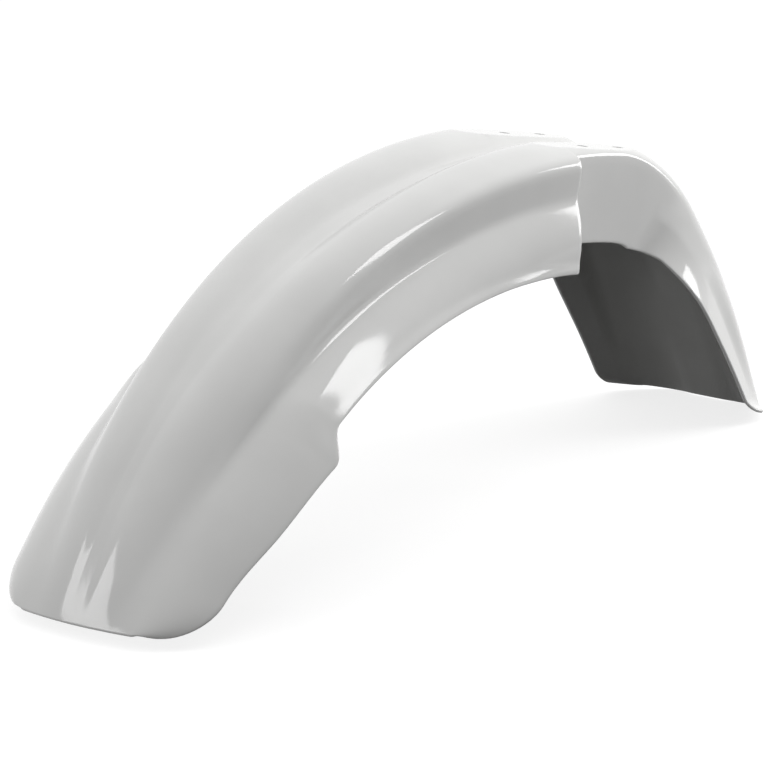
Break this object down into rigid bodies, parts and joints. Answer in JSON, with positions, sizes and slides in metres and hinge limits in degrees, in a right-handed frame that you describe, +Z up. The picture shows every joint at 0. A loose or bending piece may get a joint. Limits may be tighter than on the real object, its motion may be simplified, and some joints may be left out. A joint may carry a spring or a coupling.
{
  "type": "motorcycle front mudguard",
  "caption": "Arched front mudguard for an off-road motorcycle, moulded in plastic, with bolt pads on its ridges, flanks cut away for the fork legs and a flared rear blade.",
  "frame": {"origin": "middle of the bolt pattern, on the top faces of the bolt pads", "axes": "+X forward to the front tip, +Y to the left of the motorcycle, +Z up out of the bolt pads, towards the fork yoke"},
  "size_m": [0.7093, 0.2448, 0.3731],
  "materials": {
    "white_plastic": "gloss"
  },
  "bodies": {
    "root": {"mudguard": "white_plastic"}
  },
  "joints": []
}
